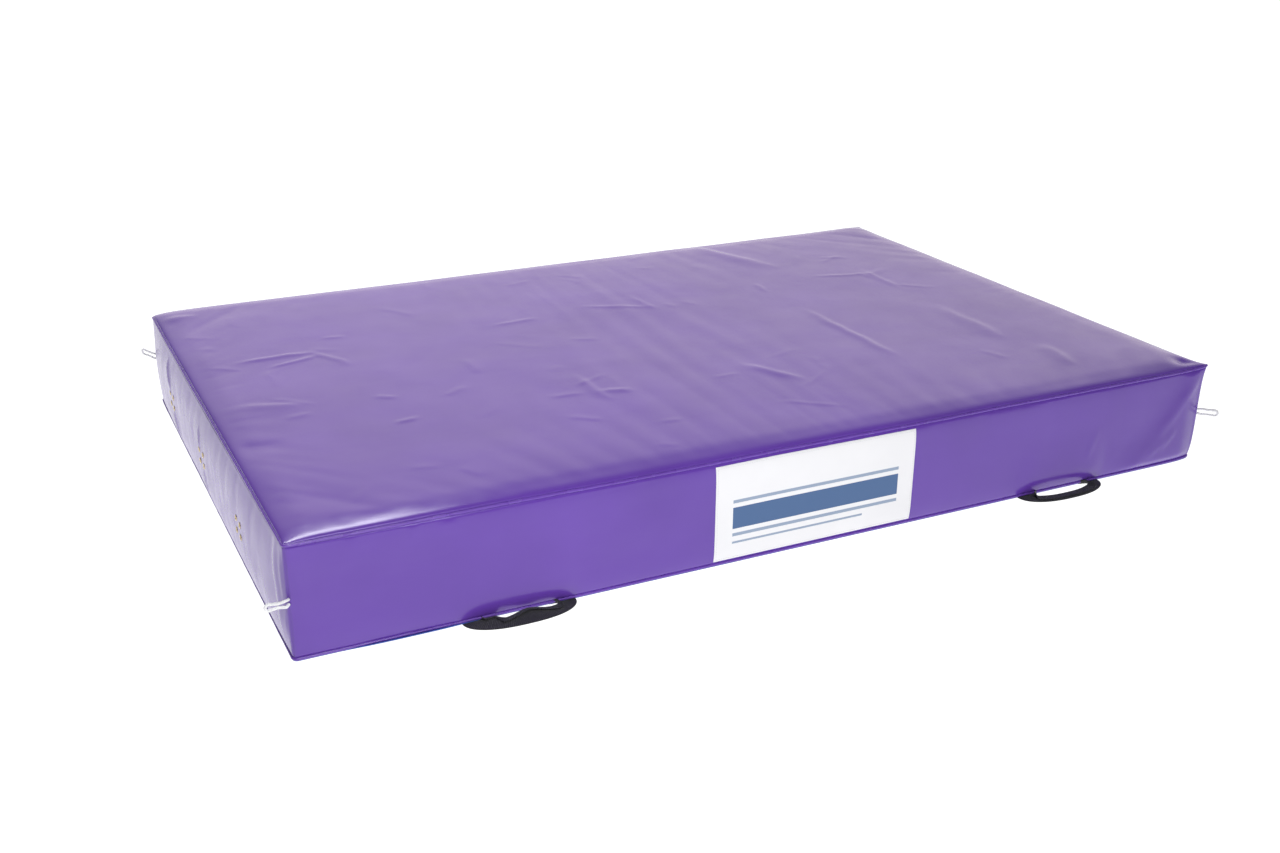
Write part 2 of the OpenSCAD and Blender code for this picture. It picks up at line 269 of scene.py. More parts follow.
def simulate_skin():
    """Blows slack cloth out of each face's pinned border, and returns the faces' heights as grids."""
    parts, pins, spans, start = [], [], {}, 0
    for side, half in FACES.items():
        deep = HALF_W if side == "top" else WALL_HALF
        along, across = (np.linspace(-far, far, round(2 * far / SIM_CELL) + 1) for far in (half, deep))
        a, b = np.meshgrid(along, across)
        if side == "top":
            flat = np.stack([a, b, np.full_like(a, SEAM_Z)], -1)
        else:
            flat = wall_place(side, a, b + WALL_MID, 0.0)
        flat = flat + noise_field(flat, 0.05, 3)[..., None] * 0.4 * MM * np.array(OUTWARD[side])
        pin = np.ones(a.shape, bool)
        pin[1:-1, 1:-1] = False
        if side == "back":
            pin |= np.abs(b + WALL_MID - ZIP_Z) < SIM_CELL
        parts.append((flat.reshape(-1, 3), grid_faces(*a.shape, side in FLIPPED)))
        pins.append(pin.ravel())
        spans[side] = (start, along, across)
        start += a.size
    rest, faces = joined(parts)
    skin = mesh_piece("skin", rest, faces)
    pinned = np.nonzero(np.concatenate(pins))[0].tolist()
    skin.vertex_groups.new(name="pin").add(pinned, 1.0, "REPLACE")
    cloth = modify(skin, "cloth", "CLOTH")
    configured(cloth.settings, **CLOTH)
    cloth.settings.effector_weights.gravity = 0
    cloth.collision_settings.use_collision = False
    for number in range(1, SIM_FRAMES + 1):
        bpy.context.scene.frame_set(number)
    depsgraph = bpy.context.evaluated_depsgraph_get()
    moved = np.zeros(len(rest) * 3)
    skin.evaluated_get(depsgraph).data.vertices.foreach_get("co", moved)
    moved = moved.reshape(-1, 3) - rest
    bpy.data.objects.remove(skin)
    bpy.context.scene.frame_set(1)
    heights = {}
    for side, (first, along, across) in spans.items():
        shape = (len(across), len(along))
        out = moved[first:first + shape[0] * shape[1]] @ np.array(OUTWARD[side], float)
        heights[side] = (along, across, out.reshape(shape))
    return heights


def blurred(field, cells):
    """Gaussian blur of a grid, with its edge values carried outwards."""
    reach = int(3 * cells)
    kernel = np.exp(-0.5 * (np.arange(-reach, reach + 1) / cells) ** 2)
    kernel /= kernel.sum()
    for axis in (0, 1):
        pad = [(reach, reach) if k == axis else (0, 0) for k in (0, 1)]
        wide = np.pad(field, pad, mode="edge")
        field = np.apply_along_axis(lambda line: np.convolve(line, kernel, "valid"), axis, wide)
    return field


def sampled(grid, a, b):
    """Bilinear value of a (along, across, values) grid."""
    along, across, values = grid
    i = np.clip((a - along[0]) / (along[1] - along[0]), 0, len(along) - 1.001)
    j = np.clip((b - across[0]) / (across[1] - across[0]), 0, len(across) - 1.001)
    i0, j0 = i.astype(int), j.astype(int)
    s, t = i - i0, j - j0
    low = values[j0, i0] * (1 - s) + values[j0, i0 + 1] * s
    high = values[j0 + 1, i0] * (1 - s) + values[j0 + 1, i0 + 1] * s
    return low * (1 - t) + high * t


# How far each wall stands out, how squarely it bulges, and how high the simulated ripples are.
BULGE = {"front": 5.5 * MM, "back": 6 * MM, "left": 13 * MM, "right": 12 * MM}
FULLNESS = {"front": 8, "back": 6, "left": 3, "right": 3}
RIPPLE = {"top": 1.7 * MM, "front": 0.8 * MM, "back": 0.8 * MM, "left": 1.4 * MM, "right": 1.4 * MM}
skin_ripple = {}
for side, (along, across, height) in simulate_skin().items():
    ripple = blurred(height - blurred(height, 5), 0.6)
    ripple *= RIPPLE[side] / np.percentile(np.abs(ripple), 97)
    cap = 2.2 * RIPPLE[side]
    skin_ripple[side] = (along, across, cap * np.tanh(ripple / cap))


def ripples(side, a, b):
    if side not in skin_ripple:
        return np.zeros(np.shape(a))
    return sampled(skin_ripple[side], a, b)


def crease(a, b, line, softer=2.5):
    """A ridge along a line, steep on one side and soft on the other."""
    a0, b0, a1, b1 = line[:4]
    height, width = line[4] * MM, line[5] * MM
    length = math.hypot(a1 - a0, b1 - b0)
    da, db = (a1 - a0) / length, (b1 - b0) / length
    t = ((a - a0) * da + (b - b0) * db) / length
    side = -(a - a0) * db + (b - b0) * da
    width = np.where(side > 0, width, width * softer)
    ends = smoothstep(t, -0.15, 0.3) * (1 - smoothstep(t, 0.7, 1.15))
    return height * np.exp(-((side / width) ** 2)) * ends


# Creases as (a0, b0, a1, b1, height, width): places in metres, height and width in millimetres.
TOP_CREASES = [
    (-0.815, 0.185, -0.670, 0.195, 1.5, 4), (-0.760, 0.135, -0.670, 0.170, 1.3, 4),
    (-0.670, 0.195, -0.620, 0.090, 1.3, 4), (-0.630, 0.265, -0.585, 0.260, 0.8, 3),
    (-0.280, 0.200, -0.185, 0.205, 0.9, 4), (-0.620, -0.100, -0.590, -0.125, 0.9, 4),
    (-0.630, -0.240, -0.590, -0.235, 1.1, 4), (-0.860, -0.050, -0.760, -0.090, 1.2, 9),
    (-0.905, -0.235, -0.830, -0.250, -0.9, 13), (-0.900, 0.540, -0.830, 0.525, 1.2, 11),
    (0.395, 0.590, 0.485, 0.345, 1.6, 12), (-0.055, 0.240, 0.075, 0.180, 0.9, 4),
    (0.070, 0.255, 0.080, 0.160, 0.9, 4), (0.370, 0.235, 0.372, 0.175, 1.0, 4),
    (0.540, 0.230, 0.665, 0.195, 1.0, 4), (0.663, 0.220, 0.665, 0.075, 1.0, 5),
    (0.378, 0.005, 0.382, -0.300, 1.8, 6), (0.075, -0.235, 0.135, -0.350, 1.5, 7),
    (-0.250, -0.160, -0.240, -0.295, 1.5, 6), (-0.240, -0.255, -0.180, -0.265, 1.2, 5),
    (0.652, -0.095, 0.652, -0.315, 1.4, 11), (0.690, -0.395, 0.667, -0.505, 1.5, 10),
]
WALL_CREASES = {
    "front": [(0.908, 0.190, 0.800, 0.070, 1.6, 7), (0.820, 0.064, 0.786, 0.032, 2.0, 4),
              (0.845, 0.080, 0.813, 0.044, 2.0, 4), (-0.905, 0.180, -0.895, 0.060, 1.5, 5),
              (0.650, 0.108, 0.622, 0.056, 1.3, 4), (-0.816, 0.192, -0.800, 0.150, 1.4, 5),
              (-0.714, 0.192, -0.720, 0.160, 1.2, 5), (-0.658, 0.192, -0.650, 0.165, 1.2, 5)],
    "back": [(0.600, 0.190, 0.680, 0.125, 2.2, 8), (-0.300, 0.088, -0.330, 0.020, 1.8, 7)],
    "left": [(0.330, 0.122, 0.372, 0.176, 3.0, 4), (0.318, 0.088, 0.290, 0.035, 3.0, 4),
             (0.008, 0.120, 0.020, 0.160, 2.2, 4), (-0.004, 0.088, -0.022, 0.040, 2.6, 4),
             (-0.560, 0.190, -0.575, 0.030, 2.6, 9), (-0.590, 0.190, -0.598, 0.040, 2.0, 6)],
    "right": [(0.300, 0.122, 0.270, 0.175, 2.4, 5), (-0.330, 0.088, -0.350, 0.030, 2.4, 5),
              (-0.565, 0.190, -0.560, 0.040, 2.2, 8)],
}
FAINT_CREASES = 46
random = np.random.default_rng(7)


def faint_creases(count, half_a, half_b):
    """Short, shallow creases scattered over a face."""
    lines = []
    for _ in range(count):
        a, b = random.uniform(-0.92, 0.92) * half_a, random.uniform(-0.9, 0.9) * half_b
        turn, length = random.uniform(0, math.pi), random.uniform(30, 110) * MM
        far = (a + length * math.cos(turn), b + length * math.sin(turn))
        lines.append((a, b, *far, random.uniform(0.25, 0.65), random.uniform(3, 6)))
    return lines


TOP_FAINT = faint_creases(FAINT_CREASES, HALF_L, HALF_W)


def wandering(a, b, seed):
    """Coordinates bent by a few millimetres, so that no crease is ruler-straight."""
    flat = np.stack([a, b, np.zeros_like(a)], -1)
    return a + noise_field(flat, 0.06, seed) * 7 * MM, b + noise_field(flat, 0.06, seed + 1) * 7 * MM


# Each handle's middle along its wall and half its length.
handle_places = {}
for name in ("front_left", "front_right", "back_left", "back_right"):
    low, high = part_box("handle_ends_" + name)
    handle_places[name] = ((low.x + high.x) / 2, (high.x - low.x) / 2)
label_low, label_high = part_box("label_panel")


TOP_CREASE_GAIN = 1.25
# Depth, inset and reach of the dimple by the front right corner, and height of the swells above the handles.
DIMPLE = 8 * MM
DIMPLE_IN = 0.03
DIMPLE_R = 0.024
SWELL = 5 * MM
# The front wall's fold: its height, a place on its crest, the way up to it, and its width and softness.
FOLD = 7 * MM
FOLD_AT = (0.908, 0.190)
FOLD_OUT = (0.74, -0.67)
FOLD_WIDTH = 0.055
FOLD_SOFT = 0.06


def top_height(x, y):
    """Ripples, creases and broad unevenness of the landing panel, faded out at its seam."""
    inset = np.minimum(HALF_L - np.abs(x), HALF_W - np.abs(y))
    a, b = wandering(x, y, 5)
    height = ripples("top", x, y)
    flat = np.stack([x, y, np.zeros_like(x)], -1)
    height = height + 1.6 * MM * noise_field(flat, 0.30, 8) + 0.7 * MM * noise_field(flat, 0.12, 9)
    for line in TOP_CREASES + TOP_FAINT:
        height = height + TOP_CREASE_GAIN * crease(a, b, line)
    from_dimple = (x - HALF_L + DIMPLE_IN) ** 2 + (y + HALF_W - DIMPLE_IN) ** 2
    height = height - DIMPLE * np.exp(-from_dimple / DIMPLE_R ** 2)
    return height * smoothstep(inset, 0.002, 0.035)


def wall_height_out(side, along, z):
    """How far a wall stands out: its bulge, ripples, creases and fold, and the swells above the handles."""
    half = FACES[side]
    up = np.clip((z - SOLE_Z) / (SEAM_Z - SOLE_Z), 0, 1)
    ends = np.clip(1 - (np.abs(along) / half) ** 6, 0, 1)
    bulge = BULGE[side] * (1 - np.abs(2 * up - 1) ** FULLNESS[side]) * ends
    if side == "back":
        bulge = bulge * smoothstep(np.abs(z - ZIP_Z), 0.018, 0.045)
    rough = ripples(side, along, z - WALL_MID)
    flat = np.stack([along, z * 1.5, np.full_like(along, HALF_L)], -1)
    rough = rough + 1.0 * MM * noise_field(flat, 0.16, 21 + len(side))
    a, b = wandering(along, z, 30 + len(side))
    for line in WALL_CREASES[side]:
        rough = rough + crease(a, b, line)
    if side == "front":
        beyond = FOLD_OUT[0] * (a - FOLD_AT[0]) + FOLD_OUT[1] * (b - FOLD_AT[1])
        climb = np.clip(1 + beyond / FOLD_WIDTH, 0, 1.3) ** 2
        shape = -FOLD_SOFT * np.log(np.exp(-climb / FOLD_SOFT) + np.exp(-1 / FOLD_SOFT))
        rough = rough + FOLD * shape * smoothstep(half - along, 0, 0.05)
    calm = smoothstep(up, 0, 0.10) * smoothstep(1 - up, 0, 0.06)
    calm = calm * smoothstep(half - np.abs(along), 0.002, 0.02)
    if side == "back":
        calm = calm * smoothstep(np.abs(z - ZIP_Z), 0.016, 0.03)
    if side == "front":
        away = np.maximum(np.maximum(label_low.x - along, along - label_high.x), 0)
        calm = calm * (0.12 + 0.88 * smoothstep(away, 0, 12 * MM))
    out = bulge + rough * calm
    for name, (middle, reach) in handle_places.items():
        if name.startswith(side):
            across = (along - middle) / (0.98 * reach)
            tall = smoothstep(z, 0.002, 0.042) * (1 - smoothstep(z, 0.042, 0.125))
            out = out + SWELL * np.exp(-np.abs(across) ** 8) * tall
    return out


# Ears and sags of the corners and seams, as (corner, shift, reach), the last two in millimetres.
EARS = [
    ((HALF_L, -HALF_W, SEAM_Z), (5.0, -3.5, 7.0), 17), ((HALF_L, HALF_W, SEAM_Z), (3.5, 3.0, 3.0), 14),
    ((-HALF_L, HALF_W, SEAM_Z), (1.5, -1.5, -2.5), 30), ((-HALF_L, -HALF_W, SEAM_Z), (-1.0, -1.0, 1.0), 14),
    ((HALF_L, -HALF_W, SOLE_Z), (-5.0, 5.0, 2.5), 20), ((-HALF_L, HALF_W, SOLE_Z), (2.0, -2.0, 0.0), 25),
]


def settled(points):
    """Rounds the upright corners, then pulls out the ears and lets the top seam waver."""
    points = np.array(points, float)
    over = np.maximum(np.abs(points[..., :2]) - (HALF_L - CORNER_R, HALF_W - CORNER_R), 0)
    length = np.maximum(np.linalg.norm(over, axis=-1), 1e-12)
    share = np.where((over > 0).all(-1), over.max(-1) / length, 1.0)
    points[..., :2] -= np.sign(points[..., :2]) * over * (1 - share)[..., None]
    shift = np.zeros_like(points)
    for corner, pull, reach in EARS:
        away = np.linalg.norm(points - np.array(corner), axis=-1)
        shift += np.exp(-away / (reach * MM))[..., None] * (np.array(pull) * MM)
    high = smoothstep(points[..., 2], SOLE_Z, SEAM_Z)
    rim = np.abs(np.abs(points[..., :2]) - (HALF_L, HALF_W)).min(-1)
    waver = noise_field(points * (1, 1, 0), 0.22, 40)
    shift[..., 2] += 1.6 * MM * waver * (np.exp(-(rim / 0.05) ** 2) * high)
    return points + shift


def tuck(distance, depth=1.2 * MM, reach=1.8 * MM):
    """How far a panel's edge turns in towards its seam."""
    return depth * np.exp(-((distance / reach) ** 2))


def wall_panel(side, name, low, high):
    """One wall panel from height low to height high, each a number or a function of the place along."""
    half, tall = FACES[side], SEAM_Z - SOLE_Z
    along = stops(2 * half) - half
    heights = stops(1.0, EDGE_STEPS / tall, CELL / tall)
    floor, roof = (edge(along) if callable(edge) else np.full(len(along), edge) for edge in (low, high))
    z = floor[None, :] + heights[:, None] * (roof - floor)[None, :]
    a = np.broadcast_to(along, z.shape)
    out = wall_height_out(side, a, z) - tuck(SEAM_Z - PIPE_R - z) - tuck(z - SOLE_Z - PIPE_R)
    out = out - tuck(half - np.abs(a), 0.7 * MM)
    if side == "back":
        inside = smoothstep(SLOT_END - np.abs(a), -2 * MM, 3 * MM)
        out = out - tuck(np.abs(z - ZIP_Z) - 7 * MM, 1.0 * MM) * inside
    return thicken(grid_piece(name, settled(wall_place(side, a, z, out)), side in FLIPPED), FABRIC)


def top_surface(x, y):
    """Height of the landing panel: crowned, and rolled over its edges down to the seam's lip."""
    def rolled(distance):
        return np.sqrt(1 - (1 - np.clip(distance / ROLL_W, 0, 1)) ** 2)

    lip = SEAM_Z + PIPE_R - 0.4 * MM
    roll = rolled(HALF_L - np.abs(x)) * rolled(HALF_W - np.abs(y))
    return lip + (CROWN_Z - lip) * roll + top_height(x, y)


def top_panel():
    """The landing panel, with its edges tucked in behind the seam's lip."""
    x, y = np.meshgrid(stops(2 * HALF_L) - HALF_L, stops(2 * HALF_W) - HALF_W)
    z = top_surface(x, y)
    x = x - np.sign(x) * tuck(HALF_L - np.abs(x))
    y = y - np.sign(y) * tuck(HALF_W - np.abs(y))
    return thicken(grid_piece("cover_top_panel", settled(np.stack([x, y, z], -1))), FABRIC)


def ring_path(z, step):
    """Square path around the mat at height z, anticlockwise from the front left corner."""
    corners = [np.array([x * HALF_L, y * HALF_W, z]) for x, y in ((-1, -1), (1, -1), (1, 1), (-1, 1))]
    points = []
    for start, end in zip(corners, corners[1:] + corners[:1]):
        length = np.linalg.norm(end - start)
        shares = stops(length, EDGE_STEPS[::2], step) / length
        points += [start + (end - start) * s for s in shares[:-1]]
    return np.array(points)


# Places along the seams where the piping is pinched, and how far a pinch reaches.
PINCHES = [(x, -HALF_W) for x in (-0.816, -0.714, -0.658, 0.42)] + [(0.2, HALF_W), (HALF_L, 0.15)]
PINCH_R = 5 * MM


def piping(name, z, node, seed):
    """The raised lip in a seam: a soft round cord of cover fabric, pinched here and there."""
    path = ring_path(z, 7 * MM)
    wobble = noise_field(path, 0.03, seed)
    path = settled(path)
    path[:, 2] += 0.35 * MM * wobble
    path[:, :2] -= np.sign(path[:, :2]) * 0.8 * MM
    pinch = np.zeros(len(path))
    for x, y in PINCHES:
        pinch += np.exp(-(((path[:, 0] - x) ** 2 + (path[:, 1] - y) ** 2) / PINCH_R ** 2))
    starts = travelled(path)

    def radius(angles, along):
        here = np.interp(along, starts, pinch)
        pucker = 0.05 * math.sin(along / (9 * MM)) * math.sin(along / (31 * MM))
        return PIPE_R * (1 - 0.22 * here + pucker) * (1 + 0.10 * np.cos(angles) ** 2)

    piece = tube(name, path, radius, 14, closed=True)
    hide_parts(node)
    return piece


# ---- materials

def wire(tree, item, **values):
    """
    Sets a node up: names in lower case are its properties, capitals its inputs, and i with a number an
    input by its place. An input is a value, or the socket to link to it.
    """
    for key, value in values.items():
        numbered = key[1:].isdigit()
        if key[0].islower() and not numbered:
            setattr(item, key, value)
            continue
        socket = item.inputs[int(key[1:]) if numbered else key.replace("_", " ")]
        if isinstance(value, bpy.types.NodeSocket):
            tree.links.new(value, socket)
        else:
            socket.default_value = value
    return item


def add_node(tree, kind, **values):
    return wire(tree, tree.nodes.new("ShaderNode" + kind), **values)


def node_material(name):
    """A new material, with its nodes, its shader and a socket of the object's own coordinates."""
    material = bpy.data.materials.new(name)
    material.use_nodes = True
    tree = material.node_tree
    coords = add_node(tree, "TexCoord").outputs["Object"]
    return material, tree, tree.nodes["Principled BSDF"], coords


def computed(tree, operation, first, second):
    return add_node(tree, "Math", operation=operation, i0=first, i1=second).outputs[0]


def scaled(color, factor):
    return tuple(c * factor for c in color)


def noise_value(tree, coords, scale, detail=3.0, roughness=0.5):
    return add_node(tree, "TexNoise", Vector=coords, Scale=scale, Detail=detail,
                    Roughness=roughness).outputs["Fac"]


def ranged(tree, value, low, high, start=0.3, end=0.7):
    return add_node(tree, "MapRange", Value=value, From_Min=start, From_Max=end, To_Min=low,
                    To_Max=high).outputs["Result"]


def mixed(tree, share, first, second):
    first, second = ((*c, 1) if isinstance(c, tuple) else c for c in (first, second))
    return add_node(tree, "Mix", data_type="RGBA", i0=share, i6=first, i7=second).outputs[2]


def bumped(tree, height, distance, strength, **below):
    return add_node(tree, "Bump", Height=height, Distance=distance, Strength=strength,
                    **below).outputs["Normal"]


def coated_fabric(name, color, roughness=0.21):
    """Glossy vinyl-coated fabric: a fine cloth grain under the coat, cloudy gloss and light wear."""
    material, tree, shader, coords = node_material(name)
    lighter = tuple(min(1, c * 1.05 + 0.002) for c in color)
    tint = mixed(tree, ranged(tree, noise_value(tree, coords, 5, 3), 0, 1), scaled(color, 0.93), lighter)
    stretched = add_node(tree, "Mapping", Vector=coords, Scale=(0.6, 2.0, 2.0))
    rubs = noise_value(tree, stretched.outputs["Vector"], 6, 3, 0.6)
    worn = mixed(tree, ranged(tree, rubs, 0, 0.035, 0.45, 0.85), tint, tuple(0.6 * c + 0.25 for c in color))
    gloss = ranged(tree, noise_value(tree, coords, 22, 4, 0.6), roughness - 0.03, roughness + 0.05)
    fine = bumped(tree, noise_value(tree, coords, 260, 2), 0.00015, 0.25)
    soft = bumped(tree, noise_value(tree, coords, 24, 1), 0.0010, 0.15, Normal=fine)
    wire(tree, shader, Base_Color=worn, Roughness=gloss, Specular_IOR_Level=0.55, Normal=soft)
    return material


PURPLE = (0.128, 0.047, 0.395)
cover_vinyl = coated_fabric("cover_vinyl", PURPLE)
# The piping is the cover's fabric in a lighter copy of its purple: a painted highlight along the raised seam
# lip.
piping_vinyl_painted_highlight = coated_fabric("piping_vinyl_painted_highlight", (0.150, 0.060, 0.430), roughness=0.26)


def base_vinyl():
    """Blue underside fabric with small non-slip pimples in rows."""
    material, tree, shader, coords = node_material("base_vinyl")
    clouds = ranged(tree, noise_value(tree, coords, 8), 0, 1)
    tint = mixed(tree, clouds, (0.030, 0.080, 0.40), (0.045, 0.110, 0.48))
    grime = ranged(tree, noise_value(tree, coords, 60, 4, 0.7), 0, 0.22, 0.55, 0.75)
    dirt = mixed(tree, grime, tint, (0.16, 0.17, 0.22))
    height = ranged(tree, cell_distance(tree, coords, 160, Randomness=0.1), 1, 0, 0.1, 0.5)
    wire(tree, shader, Base_Color=dirt, Roughness=0.48, Normal=bumped(tree, height, 0.0008, 0.35))
    return material


def cell_distance(tree, coords, scale, **more):
    return add_node(tree, "TexVoronoi", feature="F1", Vector=coords, Scale=scale,
                    **more).outputs["Distance"]


def own_uv(tree):
    return add_node(tree, "UVMap").outputs["UV"]


def wave(tree, uv, direction, scale, distortion, **more):
    return add_node(tree, "TexWave", bands_direction=direction, Vector=uv, Scale=scale,
                    Distortion=distortion, **more).outputs["Fac"]


def woven(name, color, ribs, picks, contrast):
    """Woven tape: ribs run along it and picks across, from the piece's own uv in metres."""
    material, tree, shader, coords = node_material(name)
    uv = own_uv(tree)
    rib = wave(tree, uv, "X", ribs, 0.6, Detail=1.0)
    pick = wave(tree, uv, "Y", picks, 0.8, Detail=1.0)
    weave = computed(tree, "MULTIPLY", rib, pick)
    light = scaled(color, 1 + contrast)
    tint = mixed(tree, weave, scaled(color, 1 - contrast), light)
    fuzz = noise_value(tree, coords, 240, 4, 0.7)
    fuzzy = mixed(tree, ranged(tree, fuzz, 0, 0.25, 0.5, 0.8), tint, tuple(c + 0.05 for c in light))
    wire(tree, shader, Base_Color=fuzzy, Roughness=0.75, Sheen_Weight=0.15,
         Normal=bumped(tree, weave, 0.0006, 0.8))
    return material


def metal(name, color, roughness, scratch):
    """Plated metal with a brushed, slightly tarnished surface."""
    material, tree, shader, coords = node_material(name)
    tarnish = ranged(tree, noise_value(tree, coords, 120, 4), 0, 0.5)
    dull = ranged(tree, noise_value(tree, coords, 300, 3), roughness, roughness + 0.18)
    tint = mixed(tree, tarnish, color, scaled(color, 0.6))
    wire(tree, shader, Base_Color=tint, Metallic=1.0, Roughness=dull,
         Normal=bumped(tree, noise_value(tree, coords, scratch, 4), 0.0001, 0.3))
    return material


def foam_material(name, color, pore):
    """Open-celled foam: pitted, with painted shade darkening the pits, matt and a little uneven in colour."""
    material, tree, shader, coords = node_material(name)
    cells = cell_distance(tree, coords, pore)
    tint = mixed(tree, ranged(tree, noise_value(tree, coords, 9, 3), 0, 1), scaled(color, 0.88), color)
    # Painted shade: the pits' bottoms are darkened towards 0.55 of the foam's colour, where the bump makes
    # them deepest.
    shaded_pits = mixed(tree, ranged(tree, cells, 0.35, 0, 0.0, 0.4), tint, scaled(color, 0.55))
    wire(tree, shader, Base_Color=shaded_pits, Roughness=0.95, Normal=bumped(tree, cells, 0.0015, 0.8))
    return material


def plain_plastic(name, color, roughness):
    """Moulded plastic or thread: slightly uneven in colour and gloss."""
    material, tree, shader, coords = node_material(name)
    tint = mixed(tree, noise_value(tree, coords, 90, 3), scaled(color, 0.8), color)
    gloss = ranged(tree, noise_value(tree, coords, 200, 3), roughness, roughness + 0.12)
    wire(tree, shader, Base_Color=tint, Roughness=gloss,
         Normal=bumped(tree, noise_value(tree, coords, 500, 2), 0.0002, 0.3))
    return material


webbing = woven("webbing", (0.020, 0.020, 0.028), 180, 110, 0.55)
zip_cloth = woven("zip_cloth", (0.022, 0.020, 0.030), 320, 260, 0.4)
brass = metal("brass", (0.80, 0.66, 0.38), 0.24, 900)
nickel = metal("nickel", (0.66, 0.66, 0.68), 0.22, 1200)
zip_plastic = plain_plastic("zip_plastic", (0.03, 0.03, 0.035), 0.32)
thread_purple = plain_plastic("thread_purple", (0.20, 0.10, 0.46), 0.6)
thread_white = plain_plastic("thread_white", (0.80, 0.81, 0.84), 0.6)


def dress(piece, material, body="mat"):
    """Gives a piece its material, and the body that it rides on."""
    piece.data.materials.clear()
    piece.data.materials.append(material)
    if body:
        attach(piece, body)
    return piece


# ---- corner loops

CORD_R = 2.4 * MM
CAD_CORD = 5 * MM
STRANDS = 4
LAY = 11 * MM
LOOP_REACH = 34 * MM


def cord_material():
    """White braided cord: crossing strands from the uv round and along it."""
    material, tree, shader, coords = node_material("cord_braid")
    uv = own_uv(tree)
    tint = mixed(tree, wave(tree, uv, "DIAGONAL", 90, 0.3), (0.78, 0.79, 0.82), (0.93, 0.93, 0.95))
    fuzz = noise_value(tree, coords, 900, 4, 0.7)
    wire(tree, shader, Base_Color=tint, Roughness=0.7, Sheen_Weight=0.2,
         Normal=bumped(tree, fuzz, 0.0003, 0.6))
    return material


def braid(angles, along):
    """Radius of the braided cord: two sets of strands that wind opposite ways."""
    turn = 2 * math.pi * along / LAY
    bumps = np.maximum(np.cos(STRANDS * angles - STRANDS * turn), np.cos(STRANDS * angles + STRANDS * turn))
    return CORD_R * (0.95 + 0.07 * bumps)


def loop_route(corner, direction, reach, gap, pinch, tilt):
    """Out of the corner seam along one strand, round the bend, and back along the other."""
    corner, direction = np.array(corner), np.array(direction) / np.linalg.norm(direction)
    half = gap / 2
    run = reach - CORD_R - half
    strand = [(run * i / 9, half * (1 - pinch * math.sin(math.pi * i / 9))) for i in range(9)]
    bend = [(run + half * math.sin(b), half * math.cos(b)) for b in np.linspace(0, math.pi, 13)]
    flat = strand + bend + [(p, -q) for p, q in strand[::-1]]
    points = [corner + direction * p + np.array([0, 0, q + tilt * p]) for p, q in flat]
    inside = np.array([*-np.sign(corner[:2]) * 5 * MM, 0])
    first, last = points[0] + inside, points[-1] + inside
    first[2] -= 1.5 * MM
    last[2] += 1.5 * MM
    raw = np.array([first, *points, last])
    along = travelled(raw)
    even = np.linspace(0, along[-1], 110)
    line = np.stack([np.interp(even, along, raw[:, k]) for k in range(3)], -1)
    for _ in range(4):
        line[1:-1] = (line[:-2] + 2 * line[1:-1] + line[2:]) / 4
    return line, first


def hinge_of(body):
    """Where a body's joint is."""
    return np.array(next(j for j in frame["joints"] if j["child"] == body)["pos_m"])


def add_loop(place, direction, pinch, tilt, material):
    name = "loop_" + place
    hinge = hinge_of(name)
    low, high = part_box(name)
    gap = (high.z - low.z) - CAD_CORD
    line, first = loop_route(hinge, direction, LOOP_REACH, gap, pinch, tilt)
    piece = tube("cord_loop_" + place, line, braid, 16, uv=True)
    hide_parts(name)
    dress(piece, material, None)
    seam = hinge.copy()
    seam[:2] -= np.sign(hinge[:2]) * 3.5 * MM
    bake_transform(piece)


white_cord = cord_material()
add_loop("front_left", (-1, 0, 0), 0.35, 0.0, white_cord)
add_loop("front_right", (1, -1, 0), 0.10, 0.0, white_cord)
add_loop("back_left", (-1, 1, 0), 0.15, 0.25, white_cord)
add_loop("back_right", (1, 0, 0), 0.20, 0.0, white_cord)


# ---- cover panels and piping

def slot_edge(sign):
    """The edge of a back wall part: along the zip's slot, and then nearly meeting the other part."""
    def edge(along):
        inside = smoothstep(SLOT_END - np.abs(along), -1 * MM, 1 * MM)
        return ZIP_Z + sign * (0.1 * MM + 6.9 * MM * inside)

    return edge


def add_cover():
    top = dress(top_panel(), cover_vinyl)
    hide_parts("cover_top")
    bottom, roof = SOLE_Z + PIPE_R - 0.6 * MM, SEAM_Z - PIPE_R + 0.6 * MM
    for side in ("front", "left", "right"):
        wall = wall_panel(side, "cover_wall_%s_panel" % side, bottom, roof)
        if side != "front":
            cut_vents(wall, side)
        dress(wall, cover_vinyl)
        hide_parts("cover_wall_" + side)
    for part, low, high in (("upper", slot_edge(1), roof), ("lower", bottom, slot_edge(-1))):
        wall = dress(wall_panel("back", "cover_wall_back_%s_panel" % part, low, high), cover_vinyl)
        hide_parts("cover_wall_back_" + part)
    dress(piping("seam_lip_top", SEAM_Z, "piping_top", 3), piping_vinyl_painted_highlight)
    dress(piping("seam_lip_bottom", SOLE_Z, "piping_bottom", 4), piping_vinyl_painted_highlight)


# ---- vents

HOLE_R = 3.5 * MM
EYELET_R = 5.5 * MM
# Sections of the rings, as (radius, height) in millimetres.
EYELET_PROFILE = [(2.8, -2.6), (2.8, 0.1), (2.95, 0.55), (3.4, 0.85), (4.2, 0.98), (4.9, 0.80), (5.35, 0.40),
                  (5.5, 0.0), (5.3, -0.15), (3.5, -0.10), (3.4, -2.6)]
WASHER_PROFILE = [(3.5, -0.6), (5.3, -0.6), (5.5, -0.3), (5.3, 0.0), (3.5, 0.0)]


